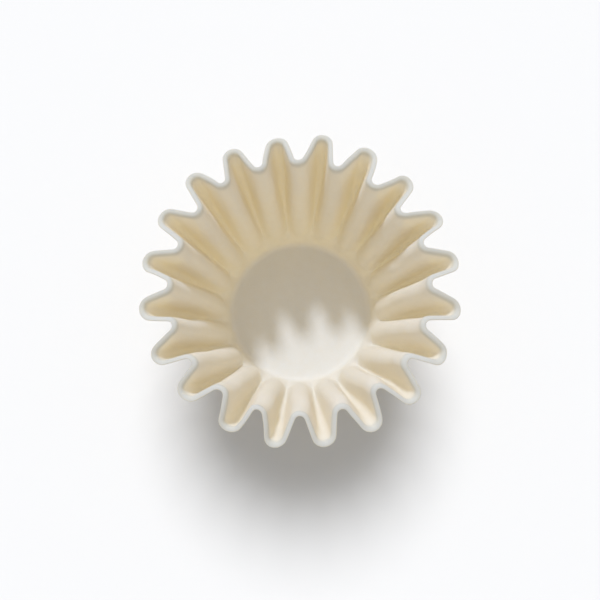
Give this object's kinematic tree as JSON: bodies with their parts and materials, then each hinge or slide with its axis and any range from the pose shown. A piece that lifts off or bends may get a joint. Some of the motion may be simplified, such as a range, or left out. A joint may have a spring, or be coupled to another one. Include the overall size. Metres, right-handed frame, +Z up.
{
  "type": "coffee filter",
  "caption": "Flat-bottomed paper coffee filter: a thin open cup whose leaning wall is gathered into round flutes.",
  "frame": {"origin": "middle of the underside of the flat bottom", "axes": "+Z up along the filter's axis, towards its open mouth; an inner fold of the wall faces +X, and an inner fold faces +Y"},
  "size_m": [0.1008, 0.1008, 0.0638],
  "materials": {
    "filter_paper": "matt, unglazed creped filter paper"
  },
  "bodies": {
    "root": {"coffee_filter": "filter_paper"}
  },
  "joints": []
}
